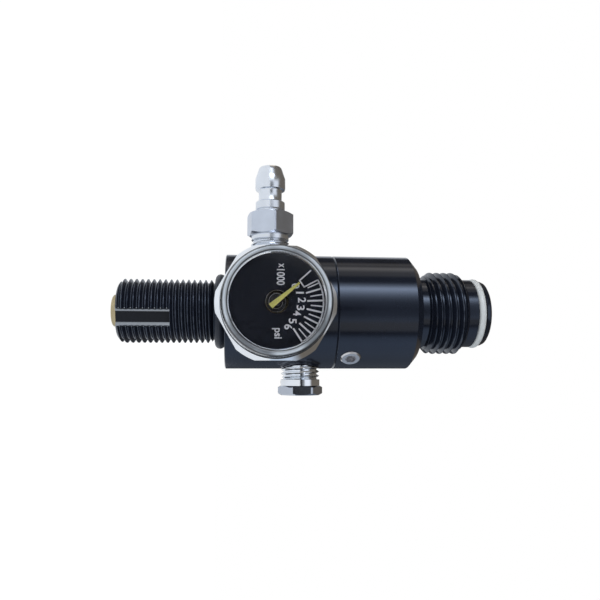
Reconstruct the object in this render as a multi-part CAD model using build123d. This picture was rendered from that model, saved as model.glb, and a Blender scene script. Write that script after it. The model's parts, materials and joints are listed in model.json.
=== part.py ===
"""Screw-on bottle regulator for carbon dioxide or high-pressure air, built piece by piece.

Frame: +Z runs along the regulator's axis, from the bottle towards the outlet. Z = 0 is the flat shoulder
that seats on the bottle. The gauge faces -Y, the fill nipple points to -X and the burst plug to +X.
All sizes are in millimetres.
"""

import math
import os

from build123d import *

# ---------------------------------------------------------------- driving dimensions

# body and bonnet
BODY_R = 14.25            # both turned parts share one outer radius
SEAM_Z = 26.6             # where the bonnet meets the body
SEAM_CHAMFER = 0.25
BONNET_EDGE_Z = 45.5      # end of the bonnet's straight side
BONNET_FACE_Z = 47.35
BONNET_FACE_R = 12.1
FIT = 0.05                # radial clearance of sliding and turning pairs

# bottle stem, 5/8-18 UNF
BOTTLE_MAJOR_R = 15.875 / 2
BOTTLE_PITCH = 25.4 / 18
BOTTLE_RIDGES = 16
BOTTLE_LAST_RIDGE_Z = -3.3
STEM_END_Z = -26.0
O_RING_LAND_Z = -2.6      # the base O-ring sits between here and the shoulder
O_RING_LAND_R = 6.75
SLOT_WIDTH = 4.6          # vent slot milled in the threads
SLOT_TOP_Z = -13.1
SLOT_FLOOR = 6.1
SLOT_ANGLE = 18.4         # from -Y towards +X
SLOT_CORNER_R = 1.1       # left by the cutter along the floor's two long edges

# outlet neck, 0.825-14
OUTLET_MAJOR_R = 20.955 / 2
OUTLET_PITCH = 25.4 / 14
OUTLET_RIDGES = 4
OUTLET_FIRST_RIDGE_Z = 52.25
RELIEF_R = 8.83
NECK_R = 8.7
NECK_CHAMFER_Z = 60.0
OUTLET_GROOVE_Z = (62.35, 64.6)
OUTLET_GROOVE_R = 7.05
OUTLET_CORD = 1.85        # thickness of the O-ring in the groove
LIP_R = 8.3
OUTLET_END_Z = 66.0

# inner stack along the axis
INLET_BORE_R = 3.3
INLET_BORE_TOP_Z = -16.0
FEED_R = 2.0
CHAMBER_R = 4.5
CHAMBER_Z = (6.0, 20.4)
STEM_SEAL_R = 5.2
STEM_SEAL_TOP_Z = 22.6
BUSH_R = 6.2
CUP_FLOOR_Z = 26.0
CUP_R = 9.4
SPIGOT_R = 11.9           # body spigot screwed into the bonnet
SPIGOT_TOP_Z = 33.0
BONNET_THREAD_BORE_R = 12.0
BONNET_THREAD_TOP_Z = 33.6
PISTON_BORE_R = 11.0
PISTON_CEILING_Z = 41.1
PISTON_STEM_R = 3.0
PISTON_TIP_Z = 12.9
PISTON_HEAD_Z = (35.8, 40.7)
PISTON_GAS_R = 1.0
SEAT_TOP_Z = 12.0
DISC_SPRINGS = 8
DISC_OUTER_R = 9.0
DISC_INNER_R = 4.1
DISC_THICKNESS = 0.8
DISC_CONE = 0.35

# outlet pin valve
VALVE_BORE_R = 4.8
VALVE_BORE_Z = 50.0
GAS_POCKET_R = 3.2
PIN_R = 1.5
PIN_TOP_Z = 65.7
PIN_SEAL_TOP_Z = 57.45
VALVE_CHAMBER_TOP_Z = 57.5

# side ports: centre heights, hole radii and how far in they are drilled
GAUGE_Z = 11.5
NIPPLE_Z = 11.0
PLUG_Z = 18.7
PORT_THREAD_R = 4.85      # 1/8 NPT
PLUG_THREAD_R = 9.525 / 2  # 3/8-24
PORT_DEPTH = 7.0          # distance of the ports' floors from the axis
SIDE_PITCH = 25.4 / 27
NIPPLE_PITCH = 1.27
PLUG_PITCH = 25.4 / 24

# gauge, heights from the regulator's axis
CASE_FLATS = 25.2
CASE_TURNED_R = 13.4
CASE_BACK = 16.5
CASE_FLOOR = 18.0
CASE_FRONT = 22.9
CASE_BORE_R = 11.4
LENS_R = 12.05
LENS_FRONT = 27.5
LENS_BORE_R = 10.6
DIAL_R = 10.5
DIAL_Z = (23.3, 23.7)
DIAL_HOLE_R = 2.6
NEEDLE_TIP = 6.3
NEEDLE_TAIL = 1.75
NEEDLE_WIDTH = 1.25
NEEDLE_REST_ANGLE = 39.5  # from +Z towards -X, at the zero mark

# fill nipple and burst plug, heights from the regulator's axis
NIPPLE_FLATS = 10.8
NIPPLE_HEX = (19.4, 25.3)
NIPPLE_COLLAR = 18.3      # start of the plain collar under the hexagon
NIPPLE_TIP = 37.4
PROBE_R = 3.85            # head that the fill coupling grips
CHECK_BORE_R = 2.0
PLUG_FLATS = 10.0
PLUG_TURNED_R = 5.55
PLUG_HEX = (18.4, 20.8)
PLUG_COLLAR = 16.8

# lock screw in the bonnet's wall
SCREW_R = 2.45
SCREW_Z = 30.2
SCREW_ANGLE = 55.6        # from -Y towards +X
SCREW_OUT = 14.55


# ---------------------------------------------------------------- shared shapes

def turned(*points):
    """Solid of revolution about +Z from (radius, height) points."""
    outline = Polyline(*[(radius, 0, height) for radius, height in points], close=True)
    return revolve(make_face(outline), Axis.Z, 360)


def rod(radius, low, high):
    """Round bar along +Z."""
    return Pos(0, 0, low) * Cylinder(radius, high - low, align=(Align.CENTER, Align.CENTER, Align.MIN))


def tube(outer, inner, low, high):
    """Round bar along +Z with a hole through it."""
    return rod(outer, low, high) - rod(inner, low - 1, high + 1)


def ring(inner, section, height):
    """O-ring about +Z, from its inner radius and its cord's diameter."""
    return Pos(0, 0, height) * Torus(inner + section / 2, section / 2)


def thread(major, pitch, first, count):
    """Outline points of parallel 60 degree ridges with pitch/8 flats, from first upwards."""
    depth = 0.6134 * pitch
    flank = depth * math.tan(math.radians(30))
    points = []
    for number in range(count):
        crest = first + number * pitch
        points += [
            (major - depth, crest - pitch / 16 - flank),
            (major, crest - pitch / 16),
            (major, crest + pitch / 16),
            (major - depth, crest + pitch / 16 + flank),
        ]
    return points


def hexagon(flats, turned_r, low, high, turn=0.0, face_r=None, both_ends=True):
    """Hexagonal bar along +Z whose corners are turned away at 30 degrees."""
    face_r = face_r or flats / 2 * 0.97
    drop = (turned_r - face_r) * math.tan(math.radians(30))
    foot = [(face_r, low), (turned_r, low + drop)] if both_ends else [(turned_r, low)]
    envelope = turned((0, low), *foot, (turned_r, high - drop), (face_r, high), (0, high))
    sketch = Rot(0, 0, turn) * RegularPolygon(flats / 2, 6, major_radius=False)
    return envelope & (Pos(0, 0, low) * extrude(sketch, high - low))


def coil(mean_r, wire_r, low, high, turns):
    """Round wire wound about +Z between two heights."""
    pitch = (high - low - 2 * wire_r) / turns
    path = Helix(pitch, pitch * turns, mean_r, center=(0, 0, low + wire_r))
    section = Plane(origin=path @ 0, z_dir=path % 0) * Circle(wire_r)
    return sweep(section, path=path, is_frenet=True)


def drilled(count, radius, circle_r, low, high, start=0.0):
    """Round bars parallel to +Z, evenly spaced on a circle, for cutting holes."""
    bars = [
        Pos(*Vector(circle_r, 0, 0).rotate(Axis.Z, start + 360 * n / count)) * rod(radius, low, high)
        for n in range(count)
    ]
    return Compound(children=bars)


# local frames of the side fittings: local +Z points outwards from the axis
GAUGE_FRAME = Plane(origin=(0, 0, GAUGE_Z), x_dir=(0, 0, 1), z_dir=(0, -1, 0)).location
NIPPLE_FRAME = Plane(origin=(0, 0, NIPPLE_Z), x_dir=(0, -1, 0), z_dir=(-1, 0, 0)).location
PLUG_FRAME = Plane(origin=(0, 0, PLUG_Z), x_dir=(0, -1, 0), z_dir=(1, 0, 0)).location


def radial_frame(angle, height):
    """Frame on the axis at a height, with +Z pointing out at an angle from -Y towards +X."""
    out = Vector(math.sin(math.radians(angle)), -math.cos(math.radians(angle)), 0)
    return Plane(origin=(0, 0, height), x_dir=(0, 0, 1), z_dir=out).location


# ---------------------------------------------------------------- body, bonnet and their seals

def valve_body():
    """Turned body: bottle stem, pressure chamber, side ports and the spigot for the bonnet."""
    first_ridge = BOTTLE_LAST_RIDGE_Z - (BOTTLE_RIDGES - 1) * BOTTLE_PITCH
    root_r = BOTTLE_MAJOR_R - 0.6134 * BOTTLE_PITCH
    spigot_thread = thread(SPIGOT_R, 1.0, 27.6, 5)
    blank = turned(
        (0, STEM_END_Z),
        (root_r - 0.25, STEM_END_Z),
        (root_r, STEM_END_Z + 0.25),
        *thread(BOTTLE_MAJOR_R, BOTTLE_PITCH, first_ridge, BOTTLE_RIDGES),
        (root_r, O_RING_LAND_Z),
        (O_RING_LAND_R, O_RING_LAND_Z + 0.2),
        (O_RING_LAND_R, 0),
        (BODY_R - 0.2, 0),
        (BODY_R, 0.2),
        (BODY_R, SEAM_Z - SEAM_CHAMFER),
        (BODY_R - SEAM_CHAMFER, SEAM_Z),
        (SPIGOT_R - 0.65, SEAM_Z),
        *spigot_thread,
        (SPIGOT_R - 0.65, SPIGOT_TOP_Z),
        (0, SPIGOT_TOP_Z),
    )
    bores = [
        rod(INLET_BORE_R, STEM_END_Z - 1, INLET_BORE_TOP_Z),
        rod(FEED_R, INLET_BORE_TOP_Z - 1, CHAMBER_Z[0] + 1),
        rod(CHAMBER_R, *CHAMBER_Z),
        rod(STEM_SEAL_R, CHAMBER_Z[1] - 0.01, STEM_SEAL_TOP_Z),
        rod(BUSH_R, STEM_SEAL_TOP_Z, CUP_FLOOR_Z + 0.01),
        rod(CUP_R, CUP_FLOOR_Z, SPIGOT_TOP_Z + 1),
    ]
    ports = [
        GAUGE_FRAME * rod(PORT_THREAD_R + FIT, PORT_DEPTH, BODY_R + 2),
        GAUGE_FRAME * rod(1.0, CHAMBER_R - 0.5, PORT_DEPTH + 1),
        NIPPLE_FRAME * rod(PORT_THREAD_R + FIT, PORT_DEPTH, BODY_R + 2),
        NIPPLE_FRAME * rod(1.2, CHAMBER_R - 0.5, PORT_DEPTH + 1),
        PLUG_FRAME * rod(PLUG_THREAD_R + FIT, PORT_DEPTH + 0.6, BODY_R + 2),
        PLUG_FRAME * rod(0.75, CHAMBER_R - 0.5, PORT_DEPTH + 1),
    ]
    slot_length = SLOT_TOP_Z - STEM_END_Z + 1
    slot_block = Box(slot_length, SLOT_WIDTH, 4, align=(Align.MIN, Align.CENTER, Align.MIN))
    slot_block = fillet(slot_block.faces().sort_by(Axis.Z)[0].edges().filter_by(Axis.X), SLOT_CORNER_R)
    slot = radial_frame(SLOT_ANGLE, STEM_END_Z - 1) * Pos(0, 0, SLOT_FLOOR) * slot_block
    solid = blank
    for cutter in bores + ports + [slot]:
        solid -= cutter
    return solid


def bonnet():
    """Turned upper casing with the piston's bore, the threaded outlet neck and the pin valve's bore."""
    blank = turned(
        (0, SEAM_Z),
        (BODY_R - SEAM_CHAMFER, SEAM_Z),
        (BODY_R, SEAM_Z + SEAM_CHAMFER),
        (BODY_R, BONNET_EDGE_Z),
        (BONNET_FACE_R, BONNET_FACE_Z),
        (RELIEF_R, BONNET_FACE_Z),
        (RELIEF_R, 49.9),
        (OUTLET_MAJOR_R - 0.6134 * OUTLET_PITCH, 50.3),
        *thread(OUTLET_MAJOR_R, OUTLET_PITCH, OUTLET_FIRST_RIDGE_Z, OUTLET_RIDGES)[:-1],
        (NECK_R, NECK_CHAMFER_Z),
        (NECK_R, OUTLET_GROOVE_Z[0]),
        (OUTLET_GROOVE_R, OUTLET_GROOVE_Z[0]),
        (OUTLET_GROOVE_R, OUTLET_GROOVE_Z[1]),
        (LIP_R, OUTLET_GROOVE_Z[1]),
        (LIP_R, 65.1),
        (LIP_R - 0.26, 65.65),
        (LIP_R - 0.8, OUTLET_END_Z),
        (0, OUTLET_END_Z),
    )
    bores = [
        rod(BONNET_THREAD_BORE_R, SEAM_Z - 1, BONNET_THREAD_TOP_Z),
        rod(PISTON_BORE_R, SEAM_Z, PISTON_CEILING_Z),
        rod(GAS_POCKET_R, PISTON_CEILING_Z - 1, VALVE_BORE_Z + 1),
        rod(VALVE_BORE_R, VALVE_BORE_Z, OUTLET_END_Z + 1),
        turned((0, 65.4), (VALVE_BORE_R, 65.4), (VALVE_BORE_R + 0.7, 66.1), (0, 66.1)),
        radial_frame(SCREW_ANGLE, SCREW_Z) * rod(SCREW_R + FIT, BONNET_THREAD_BORE_R - 1, BODY_R + 2),
        radial_frame(180, 34.4) * rod(0.75, PISTON_BORE_R - 1, BODY_R + 2),
    ]
    solid = blank
    for cutter in bores:
        solid -= cutter
    return solid


def bottle_o_ring():
    return ring(O_RING_LAND_R + 0.02, 2.56, -1.3)


def outlet_o_ring():
    return ring(OUTLET_GROOVE_R + 0.02, OUTLET_CORD, sum(OUTLET_GROOVE_Z) / 2)


def bonnet_lock_screw():
    """M5 socket set screw that locks the bonnet on the spigot."""
    socket = Pos(0, 0, SCREW_OUT - 1.4) * extrude(RegularPolygon(1.25, 6, major_radius=False), 2)
    screw = turned(
        (0, SPIGOT_R + 0.12),
        (SCREW_R - 0.5, SPIGOT_R + 0.12),
        (SCREW_R, SPIGOT_R + 0.5),
        (SCREW_R, SCREW_OUT - 0.3),
        (SCREW_R - 0.3, SCREW_OUT),
        (0, SCREW_OUT),
    )
    return radial_frame(SCREW_ANGLE, SCREW_Z) * (screw - socket)


# ---------------------------------------------------------------- gas inlet and the valve seat

def inlet_filter_holder():
    """Brass ferrule screwed into the stem's end; its flange shows below the threads."""
    return turned(
        (1.5, -27.6), (3.6, -27.6), (3.95, -27.3), (3.95, STEM_END_Z),
        (INLET_BORE_R - 0.03, STEM_END_Z), (INLET_BORE_R - 0.03, -19.4), (1.5, -19.4),
    )


def inlet_filter():
    return rod(INLET_BORE_R - 0.05, -19.3, INLET_BORE_TOP_Z - 0.05)


def seat_carrier():
    """Brass carrier on the chamber's floor, with gas holes round the seat's pocket."""
    carrier = rod(CHAMBER_R - 0.05, CHAMBER_Z[0], 10.2)
    carrier -= rod(3.95, CHAMBER_Z[0] - 1, 7.2)
    carrier -= rod(2.3, 8.6, 11)
    return carrier - drilled(4, 0.6, 3.2, 7, 11)


def valve_seat():
    return turned((0, 8.62), (2.28, 8.62), (2.28, 11.7), (2.0, SEAT_TOP_Z), (0, SEAT_TOP_Z))


def stem_o_ring():
    return ring(PISTON_STEM_R + 0.06, 2.02, 21.5)


def stem_guide_bush():
    """Bush that holds the stem's O-ring and guides the piston; two holes take a pin spanner."""
    bush = tube(BUSH_R - 0.03, PISTON_STEM_R + FIT, STEM_SEAL_TOP_Z + 0.05, CUP_FLOOR_Z)
    return bush - drilled(2, 0.5, 4.7, 24.5, CUP_FLOOR_Z + 1)


# ---------------------------------------------------------------- piston and its springs

def spring_shim():
    return tube(DISC_OUTER_R, DISC_INNER_R, CUP_FLOOR_Z, CUP_FLOOR_Z + 0.5)


def disc_spring_stack():
    """Disc springs laid alternately cone up and cone down."""
    step = DISC_THICKNESS + DISC_CONE + 0.005
    low = CUP_FLOOR_Z + 0.52
    discs = []
    for number in range(DISC_SPRINGS):
        inner_lift, outer_lift = (DISC_CONE, 0) if number % 2 else (0, DISC_CONE)
        base = low + number * step
        discs.append(
            turned(
                (DISC_INNER_R, base + inner_lift),
                (DISC_OUTER_R, base + outer_lift),
                (DISC_OUTER_R, base + outer_lift + DISC_THICKNESS),
                (DISC_INNER_R, base + inner_lift + DISC_THICKNESS),
            )
        )
    return Compound(children=discs)


def piston():
    """Piston with a hollow stem: outlet gas above the head closes the stem on the seat."""
    low, high = PISTON_HEAD_Z
    head_r = PISTON_BORE_R - FIT - 0.02
    return turned(
        (PISTON_GAS_R, PISTON_TIP_Z),
        (1.5, PISTON_TIP_Z),
        (PISTON_STEM_R, 14.6),
        (PISTON_STEM_R, low),
        (10.4, low),
        (head_r, low + 0.4),
        (head_r, 37.2),
        (9.28, 37.2),
        (9.28, 39.5),
        (head_r, 39.5),
        (head_r, high - 0.3),
        (head_r - 0.3, high),
        (8.4, high),
        (8.0, high - 1.2),
        (3.6, high - 1.2),
        (3.2, high),
        (PISTON_GAS_R, high),
    )


def piston_head_o_ring():
    return ring(9.3, 1.64, 38.35)


# ---------------------------------------------------------------- outlet pin valve

def outlet_valve_housing():
    """Brass cartridge in the neck; a slot across its face takes a screwdriver."""
    housing = turned(
        (3.4, 50.2), (4.72, 50.2), (4.72, 52.0), (3.93, 52.0), (3.93, 53.1), (4.72, 53.1),
        (4.72, 64.9), (4.5, 65.1), (1.75, 65.1), (1.75, VALVE_CHAMBER_TOP_Z), (3.4, VALVE_CHAMBER_TOP_Z),
    )
    slot = Pos(0, 0, 64.1) * Box(12, 1.2, 2, align=(Align.CENTER, Align.CENTER, Align.MIN))
    return housing - slot


def outlet_valve_o_ring():
    return ring(3.94, 0.83, 52.55)


def outlet_pin():
    """Pin that the mating fitting pushes in to let gas out."""
    return turned(
        (0, 53.4), (1.1, 53.4), (1.2, 53.5), (1.2, 54.4), (2.9, 54.4), (2.9, 56.0),
        (PIN_R, 56.0), (PIN_R, PIN_TOP_Z - 0.3), (PIN_R - 0.3, PIN_TOP_Z), (0, PIN_TOP_Z),
    )


def outlet_pin_seal():
    return tube(2.9, PIN_R + 0.01, 56.01, PIN_SEAL_TOP_Z)


def outlet_pin_spring():
    return coil(2.1, 0.25, 50.95, 54.35, 3.5)


def outlet_spring_retainer():
    return tube(3.37, 1.4, 50.2, 50.9)


# ---------------------------------------------------------------- pressure gauge

def gauge_socket():
    """Brass stem of the gauge: pipe thread, gas passage, Bourdon tube mounting and pointer bearing."""
    ridges = thread(PORT_THREAD_R, SIDE_PITCH, PORT_DEPTH + 1.0, 6)
    stem = turned(
        (0, PORT_DEPTH + 0.3), (4.1, PORT_DEPTH + 0.3), *ridges, (4.27, 14.2), (4.6, 14.4),
        (4.6, CASE_BACK), (4.15, CASE_BACK), (4.15, 19.0), (2.0, 19.0), (2.0, 20.2), (0, 20.2),
    )
    stem -= rod(0.6, PORT_DEPTH, 18.3)
    stem -= rod(0.5 + FIT, 19.1, 21)
    return GAUGE_FRAME * stem


def gauge_case():
    """Plated hexagonal cup with a round mouth for the lens."""
    cup = hexagon(CASE_FLATS, CASE_TURNED_R, CASE_BACK, CASE_FRONT, face_r=12.3)
    cup -= rod(CASE_BORE_R, CASE_FLOOR, CASE_FRONT + 1)
    cup -= rod(4.2, CASE_BACK - 1, CASE_FLOOR + 1)
    return GAUGE_FRAME * cup


def gauge_lens():
    """Clear snap-in cover: a thick stepped rim round a thinner window."""
    lens = turned(
        (0, 27.15), (10.45, 27.15), (10.7, 27.4), (11.0, LENS_FRONT), (11.4, LENS_FRONT), (11.8, 27.25),
        (LENS_R - 0.1, 26.8), (LENS_R, CASE_FRONT), (CASE_BORE_R - 0.05, CASE_FRONT),
        (CASE_BORE_R - 0.05, 21.4), (LENS_BORE_R, 21.4), (LENS_BORE_R, 25.7), (10.3, 25.9), (0, 25.9),
    )
    return GAUGE_FRAME * lens


def gauge_dial():
    return GAUGE_FRAME * tube(DIAL_R, DIAL_HOLE_R, *DIAL_Z)


def gauge_dial_spacer():
    """Ring that stands on the case's floor and carries the dial."""
    return GAUGE_FRAME * tube(10.4, 9.2, CASE_FLOOR, DIAL_Z[0] - 0.02)


def gauge_bourdon_coil():
    """Wound pressure tube that turns the pointer as it uncoils."""
    return GAUGE_FRAME * coil(5.6, 0.55, 19.2, 22.8, 2.5)


def gauge_spindle():
    """Spindle with the small cap that shows in the dial's hole."""
    spindle = turned(
        (0, 19.3), (0.5, 19.3), (0.5, 22.0), (2.1, 22.0), (2.1, 22.5), (0.9, 22.6), (0.9, 24.3), (0, 24.3),
    )
    return GAUGE_FRAME * spindle


def gauge_pointer():
    """Flat tapered needle on the spindle."""
    outline = Polyline(
        (-NEEDLE_TAIL, -NEEDLE_WIDTH / 2), (NEEDLE_TIP, -0.1), (NEEDLE_TIP, 0.1),
        (-NEEDLE_TAIL, NEEDLE_WIDTH / 2), close=True,
    )
    needle = Pos(0, 0, 24.31) * extrude(make_face(outline), 0.25)
    return GAUGE_FRAME * Rot(0, 0, NEEDLE_REST_ANGLE) * needle


# ---------------------------------------------------------------- fill nipple

def fill_nipple():
    """Quick-connect probe with a hexagon, a locking groove and a bore for the check valve."""
    ridges = thread(PORT_THREAD_R, NIPPLE_PITCH, PORT_DEPTH + 1.3, 8)
    probe = turned(
        (0, PORT_DEPTH + 0.4), (3.9, PORT_DEPTH + 0.4), *ridges, (4.07, NIPPLE_COLLAR),
        (4.75, NIPPLE_COLLAR), (4.75, NIPPLE_HEX[0] + 0.2), (4.6, NIPPLE_HEX[1] - 0.2),
        (3.4, NIPPLE_HEX[1] + 0.1), (3.4, 26.0), (3.55, 26.1), (3.75, 26.3), (3.75, 28.1),
        (3.55, 28.3), (3.1, 28.45), (2.95, 28.9), (2.95, 30.9), (3.1, 31.3), (3.75, 31.5),
        (PROBE_R, 31.9), (PROBE_R, 34.4), (2.95, 37.15), (2.75, NIPPLE_TIP), (0, NIPPLE_TIP),
    )
    probe += hexagon(NIPPLE_FLATS, 6.13, *NIPPLE_HEX, turn=10, face_r=5.2)
    probe -= rod(CHECK_BORE_R, PORT_DEPTH, 33.0)
    probe -= rod(1.1, 32, NIPPLE_TIP + 1)
    probe -= turned((0, 36.9), (1.1, 36.9), (1.7, 37.5), (0, 37.5))
    return NIPPLE_FRAME * probe


def fill_check_poppet():
    """Fluted plunger that the spring holds against the bore's shoulder."""
    plunger = turned(
        (0, 24.0), (1.85, 24.0), (1.85, 31.6), (1.4, 31.9), (1.0, 32.1), (1.0, 32.25), (0, 32.25),
    )
    return NIPPLE_FRAME * (plunger - drilled(4, 0.45, 1.9, 23, 31))


def fill_check_seal():
    return NIPPLE_FRAME * tube(1.6, 1.02, 32.2, 32.95)


def fill_check_spring():
    return NIPPLE_FRAME * coil(1.45, 0.2, 12.6, 23.9, 9)


def fill_spring_retainer():
    return NIPPLE_FRAME * tube(CHECK_BORE_R - 0.03, 0.8, 11.2, 12.5)


# ---------------------------------------------------------------- burst plug

def burst_plug():
    """Hexagon plug with a blind vent bore and two side vent holes."""
    ridges = thread(PLUG_THREAD_R, PLUG_PITCH, 9.0, 8)
    plug = turned(
        (0, 8.25), (4.0, 8.25), *ridges, (4.85, PLUG_COLLAR + 0.15), (4.85, PLUG_HEX[0] + 0.3),
        (0, PLUG_HEX[0] + 0.3),
    )
    plug += hexagon(PLUG_FLATS, PLUG_TURNED_R, *PLUG_HEX, turn=30, face_r=4.75)
    plug -= rod(1.5, 8, 18.9)
    plug -= Pos(0, 0, 17.6) * Rot(90, 0, 0) * rod(0.5, -8, 8)
    return PLUG_FRAME * plug


def burst_disc():
    return PLUG_FRAME * rod(4.2, 7.62, 7.72)


def burst_washer():
    return PLUG_FRAME * tube(4.2, 1.6, 7.74, 8.23)


# ---------------------------------------------------------------- write one file for each piece

PIECES = [
    valve_body, bonnet, bottle_o_ring, outlet_o_ring, bonnet_lock_screw,
    inlet_filter_holder, inlet_filter, seat_carrier, valve_seat, stem_o_ring, stem_guide_bush,
    spring_shim, disc_spring_stack, piston, piston_head_o_ring,
    outlet_valve_housing, outlet_valve_o_ring, outlet_pin, outlet_pin_seal, outlet_pin_spring,
    outlet_spring_retainer,
    gauge_socket, gauge_case, gauge_lens, gauge_dial, gauge_dial_spacer, gauge_bourdon_coil,
    gauge_spindle, gauge_pointer,
    fill_nipple, fill_check_poppet, fill_check_seal, fill_check_spring, fill_spring_retainer,
    burst_plug, burst_disc, burst_washer,
]

os.makedirs("parts", exist_ok=True)
for piece in PIECES:
    export_step(piece(), f"parts/{piece.__name__}.step")
    print("wrote", piece.__name__)
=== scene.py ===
# %% [markdown]
# # A screw-on bottle regulator, finished in Blender
# The regulator screws on a small gas bottle and lets the gas out at a steady pressure. Its shapes come from
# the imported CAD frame. This lesson adds what a design model leaves out: finishes, the printed dial, true
# helical threads, and a soft studio. The main places come from the frame's own boxes, and smaller sizes are
# given in millimetres where they are first needed.

# %% Load the frame
import json
import math

import bmesh
import bpy
from mathutils import Matrix, Vector


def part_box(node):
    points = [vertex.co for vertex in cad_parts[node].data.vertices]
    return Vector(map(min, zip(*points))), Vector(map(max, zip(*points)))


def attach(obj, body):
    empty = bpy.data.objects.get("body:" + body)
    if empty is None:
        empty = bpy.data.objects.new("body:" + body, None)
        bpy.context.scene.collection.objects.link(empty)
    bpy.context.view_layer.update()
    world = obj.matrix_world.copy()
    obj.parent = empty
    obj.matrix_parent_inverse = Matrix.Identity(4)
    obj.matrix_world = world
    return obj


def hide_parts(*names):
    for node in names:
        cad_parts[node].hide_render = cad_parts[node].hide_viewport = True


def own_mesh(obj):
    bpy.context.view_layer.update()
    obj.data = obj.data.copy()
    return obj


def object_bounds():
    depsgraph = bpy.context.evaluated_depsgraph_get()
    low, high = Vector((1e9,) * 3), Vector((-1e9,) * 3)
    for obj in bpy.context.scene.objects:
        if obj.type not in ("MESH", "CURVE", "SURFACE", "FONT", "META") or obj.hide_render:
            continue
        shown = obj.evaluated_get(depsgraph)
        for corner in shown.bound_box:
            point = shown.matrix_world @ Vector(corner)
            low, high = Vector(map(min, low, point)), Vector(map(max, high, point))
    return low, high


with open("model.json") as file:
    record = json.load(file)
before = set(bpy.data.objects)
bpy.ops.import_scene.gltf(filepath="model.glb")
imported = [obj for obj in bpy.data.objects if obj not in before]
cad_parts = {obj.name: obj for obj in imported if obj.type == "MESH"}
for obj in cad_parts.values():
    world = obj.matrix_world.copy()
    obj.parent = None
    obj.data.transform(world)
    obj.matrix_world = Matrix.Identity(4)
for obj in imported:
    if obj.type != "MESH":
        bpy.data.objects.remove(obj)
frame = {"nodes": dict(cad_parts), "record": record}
cad_low, cad_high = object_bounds()
nodes = frame["nodes"]
MM = 0.001
print("nodes:", len(nodes), "size in mm:", [round(s / MM, 1) for s in cad_high - cad_low])

# %% [markdown]
# ## Where things are
# The frame's +Z runs along the regulator from the bottle to the outlet, the gauge faces -Y, the fill nipple
# points to -X and the burst plug to +X. The box of the gauge's dial gives the two lines that the pieces need
# most: the height of the gauge's centre and the plane of the dial's face.

# %% Read the main places from the frame
dial_low, dial_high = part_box("gauge_dial")
GAUGE_Z = (dial_low.z + dial_high.z) / 2
DIAL_FACE_Y = dial_low.y
seam_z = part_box("bonnet")[0].z
print("seam at", round(seam_z / MM, 2), "gauge centre at", round(GAUGE_Z / MM, 2))

# %% [markdown]
# ## The camera
# It stands in front of the gauge, a little towards the burst plug and the bottle, and is turned so that the
# regulator lies across the picture with the fill nipple upwards.

# %% Place the camera
CAMERA_AIM = Vector((-3.11, 0.0, 18.7)) * MM
CAMERA_DISTANCE = 159.4 * MM
CAMERA_AZIMUTH = math.radians(6.49)
CAMERA_ELEVATION = math.radians(-5.13)
CAMERA_LENS = 37.57
CAMERA_SEES_FROM = 5 * MM


def facing(forward, up):
    """Rotation that looks along forward with up as the picture's upward direction."""
    right = forward.cross(up).normalized()
    true_up = right.cross(forward)
    return Matrix((right, true_up, -forward)).transposed()


back = Vector((
    math.sin(CAMERA_AZIMUTH) * math.cos(CAMERA_ELEVATION),
    -math.cos(CAMERA_AZIMUTH) * math.cos(CAMERA_ELEVATION),
    math.sin(CAMERA_ELEVATION),
))
camera = bpy.data.objects.new("camera", bpy.data.cameras.new("camera"))
camera.data.lens = CAMERA_LENS
camera.data.clip_start = CAMERA_SEES_FROM
turn = facing(-back, Vector((-1, 0, 0)))
camera.matrix_world = Matrix.Translation(CAMERA_AIM + back * CAMERA_DISTANCE) @ turn.to_4x4()
bpy.context.scene.collection.objects.link(camera)
bpy.context.scene.camera = camera
bpy.context.scene.view_settings.view_transform = "Standard"
print("camera at", [round(c / MM, 1) for c in camera.location])

# %% [markdown]
# ## Building node trees
# Materials, the world and Geometry Nodes are all trees of nodes. One helper adds a node, sets its options and
# fills its inputs, where an input is either a value or another node's output. The others build on it, for the
# steps that come back in tree after tree.

# %% Helpers for every node tree
def put(tree, kind, inputs=None, **options):
    """Adds a node and fills its inputs with values or links; returns the node."""
    made = tree.nodes.new(kind)
    for name, option in options.items():
        setattr(made, name, option)
    for name, value in (inputs or {}).items():
        if isinstance(value, bpy.types.NodeSocket):
            tree.links.new(value, made.inputs[name])
        else:
            made.inputs[name].default_value = value
    return made


def ramp(tree, factor, stops):
    """Colour ramp from (position, (r, g, b)) stops; returns its colour output."""
    made = put(tree, "ShaderNodeValToRGB", {"Fac": factor})
    elements = made.color_ramp.elements
    elements[0].position, elements[0].color = stops[0][0], (*stops[0][1], 1)
    elements[1].position, elements[1].color = stops[-1][0], (*stops[-1][1], 1)
    for position, colour in stops[1:-1]:
        elements.new(position).color = (*colour, 1)
    return made.outputs["Color"]


def mix_colours(tree, factor, first, second):
    """Colour between two, each a value or another node's output."""
    made = put(tree, "ShaderNodeMix", data_type="RGBA")
    for name, given in (("Factor", factor), ("A", first), ("B", second)):
        if isinstance(given, bpy.types.NodeSocket):
            tree.links.new(given, made.inputs[name])
        else:
            made.inputs[name].default_value = (*given, 1) if isinstance(given, tuple) else given
    return made.outputs["Result"]


def arithmetic(tree, operation, first, second=0.0):
    """One arithmetic step; returns its output."""
    return put(tree, "ShaderNodeMath", {0: first, 1: second}, operation=operation).outputs[0]


def vector_step(tree, operation, first, second=(0.0, 0.0, 0.0)):
    """One step on vectors; returns its vector."""
    return put(tree, "ShaderNodeVectorMath", {0: first, 1: second}, operation=operation).outputs[0]


def length_of(tree, vector):
    """Length of a vector."""
    return put(tree, "ShaderNodeVectorMath", {0: vector}, operation="LENGTH").outputs["Value"]


def fit(tree, value, low, high, to_low=0.0, to_high=1.0):
    """A number that runs from to_low to to_high while value runs from low to high."""
    made = put(tree, "ShaderNodeMapRange", {
        "Value": value, "From Min": low, "From Max": high, "To Min": to_low, "To Max": to_high,
    })
    return made.outputs["Result"]


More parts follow.
